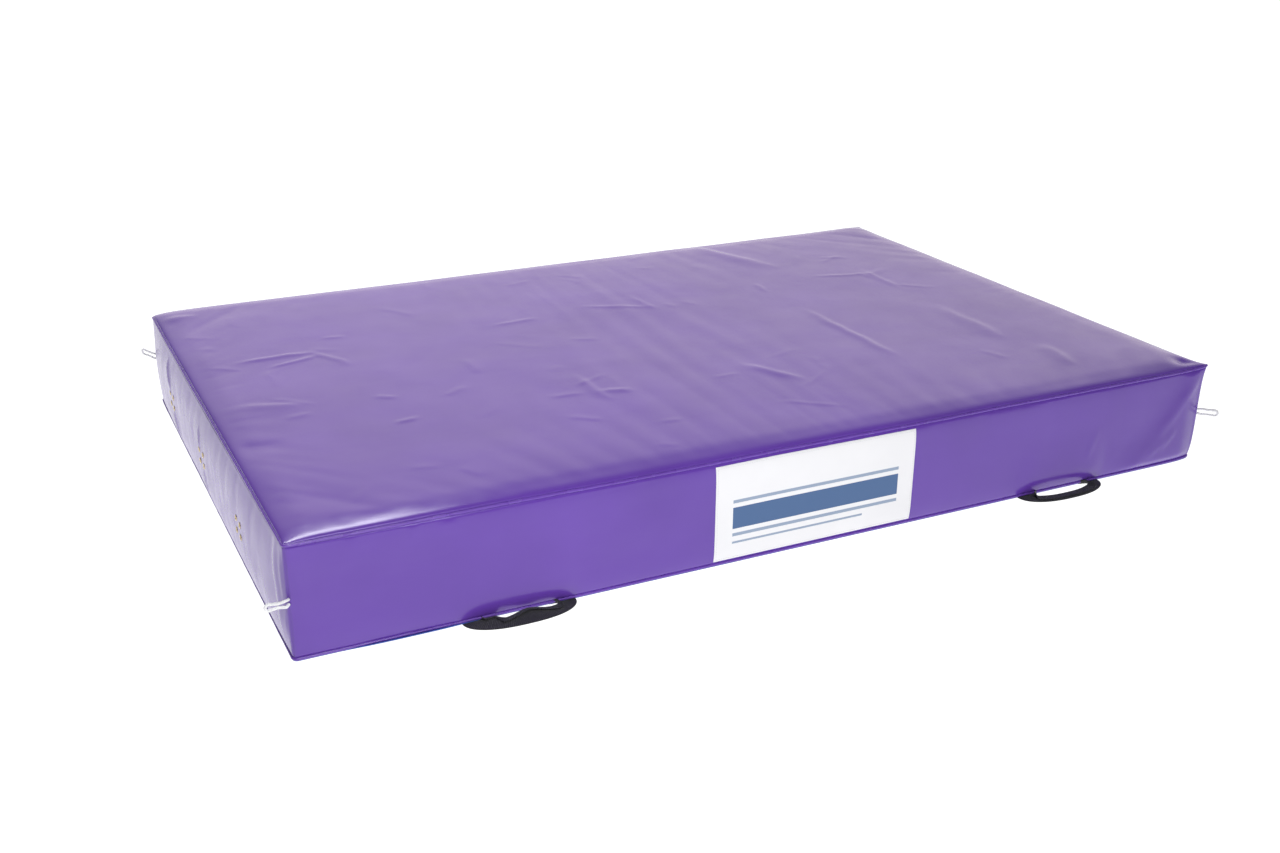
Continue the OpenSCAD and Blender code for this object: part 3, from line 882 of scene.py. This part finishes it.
def vent_places(side):
    """Centres of an end wall's eyelets, as (y, z), read from the CAD node's separate rings."""
    node = "vent_eyelets_" + side
    ys = np.sort([v.co.y for v in frame["nodes"][node].data.vertices])
    low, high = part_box(node)
    groups = np.split(ys, np.nonzero(np.diff(ys) > 5 * MM)[0] + 1)
    return [((g[0] + g[-1]) / 2, z) for g in groups for z in (low.z + EYELET_R, high.z - EYELET_R)]


def vent_point(side, y, z, depth=0.0):
    a, b = np.array([y]), np.array([z])
    return settled(wall_place(side, a, b, wall_height_out(side, a, b) + depth))[0]


def lathe(profile, sides=28):
    """Vertices and quads of a closed ring turned about +X."""
    points = [[h * MM, r * MM * math.cos(t), r * MM * math.sin(t)] for r, h in profile for t in circle(sides)]
    here = np.arange(len(points)).reshape(-1, sides)
    there = np.roll(here, -1, 0)
    quads = np.stack([here, there, np.roll(there, -1, 1), np.roll(here, -1, 1)], -1)
    return np.array(points), quads.reshape(-1, 4)


def ring_set(name, side, profile, depth):
    """One ring at each vent of a wall, square to the wall there."""
    ring, faces = lathe(profile)
    near = 4 * MM
    rings = []
    for y, z in vent_places(side):
        tall = vent_point(side, y, z + near, depth) - vent_point(side, y, z - near, depth)
        wide = vent_point(side, y + near, z, depth) - vent_point(side, y - near, z, depth)
        out = np.cross(wide, tall)
        out *= math.copysign(1, out[0] * OUTWARD[side][0]) / np.linalg.norm(out)
        wide = wide / np.linalg.norm(wide)
        tall = np.cross(out, wide)
        turned = ring[:, :1] * out + ring[:, 1:2] * wide + ring[:, 2:] * tall
        rings.append((vent_point(side, y, z, depth) + turned, faces))
    return mesh_piece(name, *joined(rings))


def cut_vents(wall, side):
    """Cuts the eyelets' holes through a wall panel."""
    inner, outer = -10 * MM, 30 * MM
    holes = []
    for y, z in vent_places(side):
        a = np.array([y + HOLE_R * math.cos(t) for t in circle(20)])
        b = np.array([z + HOLE_R * math.sin(t) for t in circle(20)])
        holes.append(lofted([wall_place(side, a, b, out) for out in (inner, outer)]))
    verts, faces = joined(holes)
    if side in FLIPPED:
        faces = [f[::-1] for f in faces]
    cutter = mesh_piece("cutter", verts, faces, smooth=False)
    modify(wall, "vents", "BOOLEAN", operation="DIFFERENCE", solver="EXACT", object=cutter)
    apply_modifiers(wall)
    bpy.data.objects.remove(cutter)


def add_vents():
    kinds = (("vent_eyelets_", "_rolled", EYELET_PROFILE, 0.1 * MM),
             ("vent_washers_", "_pressed", WASHER_PROFILE, -FABRIC - 0.1 * MM))
    for side in ("left", "right"):
        for kind, made, profile, depth in kinds:
            rings = ring_set(kind + side + made, side, profile, depth)
            dress(rings, brass)
            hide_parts(kind + side)


add_cover()
add_vents()


# ---- stitches

# A stitch's section along it, as (share of its length from the middle, share of its thickness).
STITCH_PROFILE = ((-0.5, 0.35), (-0.36, 0.9), (0.36, 0.9), (0.5, 0.35))
STITCH_R = 0.35 * MM
STITCH_PITCH = 4.5 * MM


def stitch(start, end, out, long):
    """Vertices and faces of one little rounded stitch between two points."""
    ahead = (end - start) / np.linalg.norm(end - start)
    side = np.cross(out, ahead)
    middle = (start + end) / 2
    rings = []
    for share, fat in STITCH_PROFILE:
        centre = middle + ahead * share * long
        rings.append([centre + STITCH_R * fat * (math.cos(t) * side + math.sin(t) * out) for t in circle(6)])
    return lofted(rings)


def border_runs(a0, z0, a1, z1):
    """Four runs of stitches round a rectangle."""
    return [(a0, z0, a1, z0), (a1, z0, a1, z1), (a1, z1, a0, z1), (a0, z1, a0, z0)]


def wall_stitches(name, side, runs, pitch, lift, material):
    """Rows of stitches on a wall; each run is (along0, z0, along1, z1)."""
    out = np.array(OUTWARD[side], float)
    parts = []
    for a0, z0, a1, z1 in runs:
        length = math.hypot(a1 - a0, z1 - z0)
        count = max(2, int(length / pitch))
        share = (np.arange(count) + 0.5) / count
        ahead = np.array([a1 - a0, z1 - z0]) / length * 0.3 * pitch
        ends = []
        for sign in (-1, 1):
            x = a0 + (a1 - a0) * share + sign * ahead[0]
            y = z0 + (z1 - z0) * share + sign * ahead[1]
            ends.append(settled(wall_place(side, x, y, wall_height_out(side, x, y) + lift)))
        parts += [stitch(start, end, out, 0.68 * pitch) for start, end in zip(*ends)]
    return dress(mesh_piece(name, *joined(parts)), material)


# ---- label

def between(tree, value, low, high):
    above = computed(tree, "GREATER_THAN", value, low)
    return computed(tree, "MULTIPLY", above, computed(tree, "LESS_THAN", value, high))


def label_material():
    """White printed vinyl with plain bars: uv runs across and up the label in metres."""
    material, tree, shader, coords = node_material("label_vinyl")
    uv = own_uv(tree)
    split = add_node(tree, "SeparateXYZ", Vector=uv).outputs
    clouds = ranged(tree, noise_value(tree, coords, 12), 0, 1)
    color = mixed(tree, clouds, (0.87, 0.87, 0.90), (0.90, 0.90, 0.93))
    for left, right, low, high, ink in LABEL_BARS:
        across, up = between(tree, split["X"], left, right), between(tree, split["Y"], low, high)
        color = mixed(tree, computed(tree, "MULTIPLY", across, up), color, ink)
    gloss = ranged(tree, noise_value(tree, coords, 30, 3), 0.30, 0.40)
    grain = bumped(tree, noise_value(tree, coords, 700, 2), 0.0002, 0.15)
    wire(tree, shader, Base_Color=color, Roughness=gloss, Normal=grain)
    return material


SLATE = (0.055, 0.13, 0.30)
PALE_SLATE = (0.30, 0.38, 0.52)
# Plain bars, as (left, right, bottom, top, colour) in metres from the label's lower left corner.
LABEL_BARS = [(0.034, 0.373, 0.058, 0.098, SLATE), (0.034, 0.373, 0.044, 0.050, PALE_SLATE),
              (0.034, 0.373, 0.106, 0.112, PALE_SLATE), (0.034, 0.300, 0.030, 0.034, PALE_SLATE)]


def add_label():
    """The label panel: thin vinyl laid on the front wall, with a stitched border."""
    width, tall = label_high.x - label_low.x, label_high.z - label_low.z
    across, up = (stops(length, EDGE_STEPS[:4], CELL) for length in (width, tall))
    x, z = np.meshgrid(label_low.x + across, label_low.z + up)
    rim = np.minimum.reduce([x - label_low.x, label_high.x - x, z - label_low.z, label_high.z - z])
    lift = 0.3 * MM + 0.6 * MM * smoothstep(rim, 0, 1.6 * MM)
    points = settled(wall_place("front", x, z, wall_height_out("front", x, z) + lift))
    piece = grid_piece("label", points)
    add_uv(piece, np.stack([x - label_low.x, z - label_low.z], -1))
    thicken(piece, 0.5 * MM)
    dress(piece, label_material())
    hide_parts("label_panel")
    inset = 4 * MM
    runs = border_runs(label_low.x + inset, label_low.z + inset, label_high.x - inset, label_high.z - inset)
    wall_stitches("label_stitching", "front", runs, STITCH_PITCH, 0.95 * MM, thread_white)


add_label()


# ---- base and foam

# Where the base fabric shows below the front wall, and how far that reaches along and under it.
SHOWING_AT = -0.73
SHOWING_HALF = 0.09
SHOWING_DEEP = 0.012
FOAM_CELL = 12 * MM
# The foam core's channel behind the zip: half its length, half its height, and its depth.
CHANNEL_END = 0.776
CHANNEL_HALF = 12 * MM
CHANNEL_DEEP = 4 * MM


def add_base():
    """Blue underside: flat on the floor, its rim turned up to the bottom seam and showing at one place."""
    x, y = np.meshgrid(*(stops(2 * half, EDGE_STEPS, 2 * CELL) - half for half in (HALF_L, HALF_W)))
    rim = np.minimum(HALF_L - np.abs(x), HALF_W - np.abs(y))
    showing = np.exp(-(((x - SHOWING_AT) / SHOWING_HALF) ** 4))
    showing = showing * np.exp(-(((y + HALF_W) / SHOWING_DEEP) ** 2))
    z = FABRIC + 2.6 * MM * (1 - smoothstep(rim, 0, 9 * MM))
    flat = np.stack([x, y, z], -1)
    flat[..., 1] -= 5.5 * MM * showing
    flat[..., 2] += 1.5 * MM * showing
    piece = thicken(grid_piece("cover_base_panel", settled(flat)), FABRIC)
    dress(piece, base_vinyl())
    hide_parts("cover_base")


def inside_cover(points):
    """Presses points back inside the cover, so that the foam fills it without touching the cloth."""
    gap = FABRIC + 2 * MM
    for _ in range(2):
        x, y, z = points.T
        front, back = (wall_height_out(side, x, z) for side in ("front", "back"))
        left, right = (wall_height_out(side, y, z) for side in ("left", "right"))
        y = np.clip(y, -HALF_W - front + gap, HALF_W + back - gap)
        x = np.clip(x, -HALF_L - left + gap, HALF_L + right - gap)
        points = np.stack([x, y, np.minimum(z, top_surface(x, y) - gap)], -1)
    return points


def foam_block(name, node, color, pore, seed):
    """A cut foam block from its CAD solid, with a band saw's slight waves, pressed in by the cover."""
    piece = new_object(name, frame["nodes"][node].data.copy())
    modify(piece, "cells", "REMESH", mode="VOXEL", voxel_size=FOAM_CELL)
    mesh = apply_modifiers(piece).data
    co = np.zeros(len(mesh.vertices) * 3)
    mesh.vertices.foreach_get("co", co)
    low, high = (np.array(c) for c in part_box(node))
    co = np.clip(co.reshape(-1, 3), low, high)
    from_middle = co - (low + high) / 2
    saw = noise_field(co * (1, 1, 4), 0.08, seed)
    co -= from_middle / np.linalg.norm(from_middle, axis=1)[:, None] * (0.5 + 0.5 * saw)[:, None] * 0.6 * MM
    if node == "foam_core":
        channel = (np.abs(co[:, 2] - ZIP_Z) < CHANNEL_HALF) & (np.abs(co[:, 0]) < CHANNEL_END)
        channel &= co[:, 1] > 0
        co[channel, 1] = np.minimum(co[channel, 1], high[1] - CHANNEL_DEEP)
    mesh.vertices.foreach_set("co", inside_cover(co).ravel())
    mesh.update()
    mesh.shade_smooth()
    dress(piece, foam_material(name + "_surface", color, pore))
    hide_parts(node)


add_base()
foam_block("foam_core_block", "foam_core", (0.80, 0.70, 0.42), 420, 50)
foam_block("foam_top_layer_block", "foam_top_layer", (0.86, 0.82, 0.62), 650, 51)


# ---- carry handles

STRAP_T = 1.9 * MM
STRAP_W = 48 * MM
FOLD_BEND = 1.25 * MM
STATIONS = 90
ACROSS = 22
HANDLE_HALF = handle_places["front_left"][1]


def strap_sheet(middle, touch, reach, band, rise, closing, late):
    """Middle surface of a strap from its right end round to its left, and its uv in metres."""
    sheet, uv, along, last = [], [], 0.0, None
    for turn in np.linspace(0, math.pi, STATIONS):
        c, s = math.cos(turn), max(0.0, math.sin(turn))
        side = math.copysign(1, c)
        outer = np.array([side * HANDLE_HALF * abs(c) ** 0.82, reach * s ** 0.95, 0])
        fold = np.array([side * (HANDLE_HALF - STRAP_W / 2) * abs(c) ** 0.95, (reach - band) * s ** 1.1, 0])
        bump = math.exp(-(((fold[0] - middle) / touch) ** 2))
        fold[1] *= float(smoothstep(fold[0] + HANDLE_HALF, late - 9 * MM, late + 9 * MM))
        fold[1] = max(0.0, fold[1] - closing * bump)
        wide = outer - fold
        half = np.linalg.norm(wide)
        wide /= half
        folded = math.pi * float(smoothstep(s, 0.22, 0.72))
        flap = (STRAP_W - half) * (1 - 0.62 * math.sin(folded))
        if folded > 3:
            flap = min(flap, half - 3 * MM)
        steps = np.linspace(0, half + flap, ACROSS)
        tilt = rise * bump / half
        column = [outer + (0, 0, 2.3 * MM - 0.7 * MM * s)]
        for k in range(1, ACROSS):
            passed = np.clip((steps[k] - half) / max(FOLD_BEND * folded, 1e-6), 0, 1) if folded > 0 else 0
            psi = folded * passed + tilt * (1 - passed) - tilt * passed * 0.4
            ahead = -wide * math.cos(psi) + np.array([0, 0, 1]) * math.sin(psi)
            column.append(column[-1] + (steps[k] - steps[k - 1]) * ahead)
        column = np.array(column)
        if last is not None:
            along += float(np.linalg.norm(column[ACROSS // 3] - last))
        last = column[ACROSS // 3]
        sheet.append(column)
        uv.append(np.stack([steps, np.full(ACROSS, along)], -1))
    return np.array(sheet), np.array(uv)


def seam_tails(sheet, uv):
    """Carries both ends of the strap straight back into the seam."""
    deep = 5 * MM
    back = (0, deep, 0)
    tails = [[sheet[0] - back], sheet, [sheet[-1] - back]]
    return np.concatenate(tails), np.concatenate([[uv[0] - [0, deep]], uv, [uv[-1] + [0, deep]]])


def add_handle(place, middle, touch, reach, band, rise, closing, late=0.0):
    """
    A webbing strap, flat at its ends and folded double in its grip. It reaches out by reach, and band is
    its width in the grip. About the place middle, over the width touch, its inner edge closes in by
    closing and rises by rise. As far as late from its left end, the inner edge stays at the wall.
    """
    body = "handle_" + place
    side = -1 if place.startswith("front") else 1
    centre = handle_places[place][0]
    sheet, uv = seam_tails(*strap_sheet(middle, touch, reach, band, rise, closing, late))
    points = np.stack([centre + sheet[..., 0], side * (HALF_W + sheet[..., 1]), sheet[..., 2]], -1)
    piece = grid_piece("carry_" + body, points, side > 0)
    add_uv(piece, uv)
    thicken(piece, STRAP_T, 0)
    modify(piece, "soften", "SUBSURF", levels=1, render_levels=1)
    apply_modifiers(piece)
    piece.data.shade_smooth()
    dress(piece, webbing, None)
    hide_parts(body, "handle_ends_" + place)
    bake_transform(piece)


add_handle("front_left", 10 * MM, 27 * MM, 43 * MM, 27 * MM, 5 * MM, 10 * MM, 62 * MM)
add_handle("front_right", 0.0, 30 * MM, 44 * MM, 21 * MM, 0.0, 0.0)
add_handle("back_left", 0.0, 30 * MM, 43 * MM, 24 * MM, 3 * MM, 2 * MM)
add_handle("back_right", 15 * MM, 30 * MM, 44 * MM, 22 * MM, 5 * MM, 4 * MM)


# ---- zip

TOOTH_PITCH = 3.0 * MM


def box_faces():
    """Faces of a chamfered box with three points at each corner, one for each axis."""
    faces = []
    for axis in range(3):
        b, c = (axis + 1) % 3, (axis + 2) % 3

        def point(end, sb, sc, kind):
            weights = {axis: end, b: sb, c: sc}
            return 3 * (4 * weights[0] + 2 * weights[1] + weights[2]) + kind

        for end in (0, 1):
            ring = [point(end, sb, sc, axis) for sb, sc in ((0, 0), (1, 0), (1, 1), (0, 1))]
            faces.append(ring if end else ring[::-1])
        for sb, sc in itertools.product((0, 1), repeat=2):
            ring = [point(end, sb, sc, kind) for end, kind in ((0, b), (1, b), (1, c), (0, c))]
            faces.append(ring if sb == sc else ring[::-1])
    for number, key in enumerate(itertools.product((0, 1), repeat=3)):
        ring = [3 * number + axis for axis in range(3)]
        faces.append(ring if sum(key) % 2 else ring[::-1])
    return faces


BOX_FACES = box_faces()


def rounded_box(x, y, z, bevel):
    """Vertices and faces of a box with chamfered edges, from its low and high x, y and z."""
    low, high = zip(x, y, z)
    verts = []
    for key in itertools.product((0, 1), repeat=3):
        for axis in range(3):
            inward = np.where(key, -bevel, bevel)
            inward[axis] = 0
            verts.append(np.where(key, high, low) + inward)
    return np.array(verts), BOX_FACES


def toothed_row(name, node, head, offset):
    """Moulded teeth along the zip: a root on the tape and a narrower head towards the other row."""
    low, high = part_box(node)
    if head < 0:
        root, tip = (low.z + 1.4 * MM, high.z), (low.z, low.z + 1.8 * MM)
    else:
        root, tip = (low.z, high.z - 1.4 * MM), (high.z - 1.8 * MM, high.z)
    parts = []
    for k in range(int((high.x - low.x) / TOOTH_PITCH)):
        x = low.x + (k + offset) * TOOTH_PITCH
        parts.append(rounded_box((x, x + 1.3 * MM), (low.y, high.y), root, 0.3 * MM))
        parts.append(rounded_box((x - 0.35 * MM, x + 1.65 * MM), (low.y + 0.4 * MM, high.y - 0.3 * MM),
                                 tip, 0.35 * MM))
    piece = dress(mesh_piece(name, *joined(parts), smooth=False), zip_plastic)
    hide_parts(node)


def zip_tape(name, node):
    """Woven tape beside the teeth, with fine ribs along it."""
    low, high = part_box(node)
    x, z = np.meshgrid(np.linspace(low.x, high.x, 260), np.linspace(low.z, high.z, 12))
    y = np.full_like(x, high.y) - 0.12 * MM * (1 + np.sin(z / (1.1 * MM)))
    piece = grid_piece(name, np.stack([x, y, z], -1), True)
    add_uv(piece, np.stack([z, x], -1))
    thicken(piece, 0.6 * MM)
    dress(piece, zip_cloth)
    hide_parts(node)


def plate(x, y, z, radius):
    """A rounded rectangle in x and z, with a thickness along y and softened rims."""
    r = min(radius, (z[1] - z[0]) / 2 - 1e-5)
    lip = 0.35 * MM
    corners = ((x[1] - r, z[1] - r, 0), (x[0] + r, z[1] - r, 90),
               (x[0] + r, z[0] + r, 180), (x[1] - r, z[0] + r, 270))
    turns = [(cx, cz, math.radians(start + 15 * k)) for cx, cz, start in corners for k in range(7)]
    ring = np.array([(cx + r * math.cos(t), cz + r * math.sin(t)) for cx, cz, t in turns])
    middle = ring.mean(axis=0)
    away = ring - middle
    inward = away / np.linalg.norm(away, axis=1)[:, None]
    rings = []
    for level, shrink in ((y[0], lip), (y[0] + lip, 0), (y[1] - lip, 0), (y[1], lip)):
        rings.append(np.insert(middle + away - inward * shrink, 1, level, axis=1))
    return lofted(rings)


def recalculated(piece):
    """Turns every face of a closed piece outwards."""
    work = bmesh.new()
    work.from_mesh(piece.data)
    bmesh.ops.recalc_face_normals(work, faces=work.faces)
    work.to_mesh(piece.data)
    work.free()
    return piece


def add_zip():
    toothed_row("zip_teeth_upper", "zip_row_upper", -1, 0.0)
    toothed_row("zip_teeth_lower", "zip_row_lower", 1, 0.5)
    zip_tape("zip_tape_upper_woven", "zip_tape_upper")
    zip_tape("zip_tape_lower_woven", "zip_tape_lower")
    end = zip_high.x + 3 * MM
    rows = [(-end, ZIP_Z + s * h, end, ZIP_Z + s * h) for s in (-1, 1) for h in (10.5 * MM, 15.5 * MM)]
    wall_stitches("zip_stitching", "back", rows, STITCH_PITCH, 0.1 * MM, thread_purple)
    add_end_patches()
    add_slider()
    soften_edges("zip_pull", nickel, 0.5 * MM, 3)
    soften_edges("zip_end_stops", brass, 0.4 * MM, 2)


def add_end_patches():
    """Patches over the zip's ends, each sewn down with a crossed box of stitches."""
    low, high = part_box("zip_end_patches")
    patch_l, inset = 34 * MM, 3 * MM
    parts, runs = [], []
    for x0 in (low.x, high.x - patch_l):
        parts.append(plate((x0, x0 + patch_l), (low.y, high.y), (low.z, high.z), 4 * MM))
        a0, z0, a1, z1 = x0 + inset, low.z + inset, x0 + patch_l - inset, high.z - inset
        runs += [*border_runs(a0, z0, a1, z1), (a0, z0, a1, z1), (a0, z1, a1, z0)]
    patches = recalculated(mesh_piece("zip_end_patches_sewn", *joined(parts), smooth=False))
    dress(patches, cover_vinyl)
    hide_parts("zip_end_patches")
    lift = high.y - HALF_W + 0.05 * MM
    wall_stitches("patch_stitching", "back", runs, 4.0 * MM, lift, thread_purple)


def soften_edges(node, material, width, segments):
    """Keeps a small CAD node as it is, with its material and rounded edges."""
    piece = frame["nodes"][node]
    piece.data.materials.clear()
    piece.data.materials.append(material)
    modify(piece, "rounding", "BEVEL", width=width, segments=segments, limit_method="ANGLE")


def add_slider():
    """Slider with two rounded plates, side flanges, a bridge, and lugs with the pull tab's pin."""
    low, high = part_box("zip_slider")
    row_low, row_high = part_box("zip_row_upper")
    pull_low, pull_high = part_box("zip_pull")
    plate_t, back_t, flange, bridge = 1.6 * MM, 1.4 * MM, 1.0 * MM, 0.5 * MM
    face_y = row_high.y + 0.4 * MM + plate_t
    parts = [plate((low.x, high.x), (face_y - plate_t, face_y), (low.z, high.z), 4 * MM),
             plate((low.x, high.x), (low.y, low.y + back_t), (low.z, high.z), 4 * MM)]
    for tall in ((high.z - flange, high.z), (low.z, low.z + flange)):
        parts.append(rounded_box((low.x + 3 * MM, high.x - 3 * MM), (row_low.y + 0.3 * MM, face_y - 0.4 * MM),
                                 tall, 0.25 * MM))
    parts.append(rounded_box((high.x - 6 * MM, high.x - 1 * MM), (low.y + 0.3 * MM, face_y - 0.3 * MM),
                             (ZIP_Z - bridge, ZIP_Z + bridge), 0.15 * MM))
    pin_x, pin_y, pin_r = (low.x + high.x) / 2, (pull_low.y + pull_high.y) / 2, 0.8 * MM
    half_h = (pull_high.z - pull_low.z) / 2
    for s in (-1, 1):
        near = ZIP_Z + s * (half_h + 0.3 * MM)
        tall = sorted((near, near + s * 1.2 * MM))
        parts.append(rounded_box((pin_x - 1.6 * MM, pin_x + 1.6 * MM), (face_y - 0.2 * MM, high.y),
                                 tall, 0.3 * MM))
    reach = half_h + 1.4 * MM
    ring = [(pin_x + pin_r * math.cos(t), pin_y + pin_r * math.sin(t)) for t in circle(16)]
    parts.append(lofted([[(x, y, ZIP_Z + s * reach) for x, y in ring] for s in (-1, 1)]))
    slider = recalculated(mesh_piece("zip_slider_body", *joined(parts), smooth=False))
    dress(slider, nickel, "zip_slider")
    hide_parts("zip_slider")


add_zip()


# ---- stage

FLOOR_HALF = 40.0
FLOOR_GLOW = 1.13
ROOM = 0.14
SWEEP = 1.20


def add_floor():
    """A very large pale floor that glows a little, as a lit sweep does, and is seen only from above."""
    corners = [(x * FLOOR_HALF, y * FLOOR_HALF, 0) for x, y in ((-1, -1), (1, -1), (1, 1), (-1, 1))]
    floor = mesh_piece("floor", corners, [(0, 1, 2, 3)], smooth=False)
    material = bpy.data.materials.new("floor_white")
    material.use_nodes = True
    tree = material.node_tree
    tree.nodes.clear()
    white = add_node(tree, "BsdfDiffuse", Color=(0.20, 0.20, 0.20, 1)).outputs[0]
    glow = add_node(tree, "Emission", Color=(1, 1, 1, 1), Strength=FLOOR_GLOW).outputs[0]
    lit = add_node(tree, "AddShader", i0=white, i1=glow).outputs[0]
    clear = add_node(tree, "BsdfTransparent").outputs[0]
    under = add_node(tree, "NewGeometry").outputs["Backfacing"]
    shown = add_node(tree, "MixShader", i0=under, i1=lit, i2=clear).outputs[0]
    add_node(tree, "OutputMaterial", Surface=shown)
    floor.data.materials.append(material)


def heading(tree, direction, toward):
    """How far a direction points a given way."""
    return add_node(tree, "VectorMath", operation="DOT_PRODUCT", i0=direction,
                    i1=toward).outputs["Value"]


def add_world():
    """Studio surround: a bright sweep behind the mat, and a dim room behind the camera and overhead."""
    world = bpy.data.worlds.new("studio")
    bpy.context.scene.world = world
    world.use_nodes = True
    tree = world.node_tree
    direction = add_node(tree, "TexCoord").outputs["Generated"]
    height = add_node(tree, "SeparateXYZ", Vector=direction).outputs["Z"]
    low = ranged(tree, height, 1, 0, 0.42, 0.72)
    ahead = ranged(tree, heading(tree, direction, (0.44, 0.90, 0.0)), 0, 1, -0.1, 0.5)
    right = ranged(tree, heading(tree, direction, (0.94, 0.34, 0.0)), 0, 1, 0.08, 0.42)
    sweep = computed(tree, "MULTIPLY", computed(tree, "MULTIPLY", low, ahead), right)
    wire(tree, tree.nodes["Background"], Strength=ranged(tree, sweep, ROOM, SWEEP, 0.0, 1.0),
         Color=mixed(tree, sweep, (1, 1, 1), (1.0, 0.91, 0.95)))


def add_softbox(name, place, target, size, power, spread=180):
    light = bpy.data.objects.new(name, bpy.data.lights.new(name, "AREA"))
    bpy.context.scene.collection.objects.link(light)
    configured(light.data, shape="RECTANGLE", size=size[0], size_y=size[1], energy=power,
               spread=math.radians(spread))
    turn = (Vector(target) - Vector(place)).to_track_quat("-Z", "Y").to_euler()
    configured(light, location=place, rotation_euler=turn)


add_floor()
add_world()
add_softbox("edge_softbox", (-0.5, 1.3, 2.7), (-0.3, 0.0, 0.1), (1.2, 0.8), 38)
add_softbox("key_softbox", (-0.7, -2.5, 2.1), (-0.7, -0.4, 0.1), (1.3, 0.9), 17, 110)
bpy.context.scene.view_settings.view_transform = "Standard"
bpy.context.scene.view_settings.look = "None"
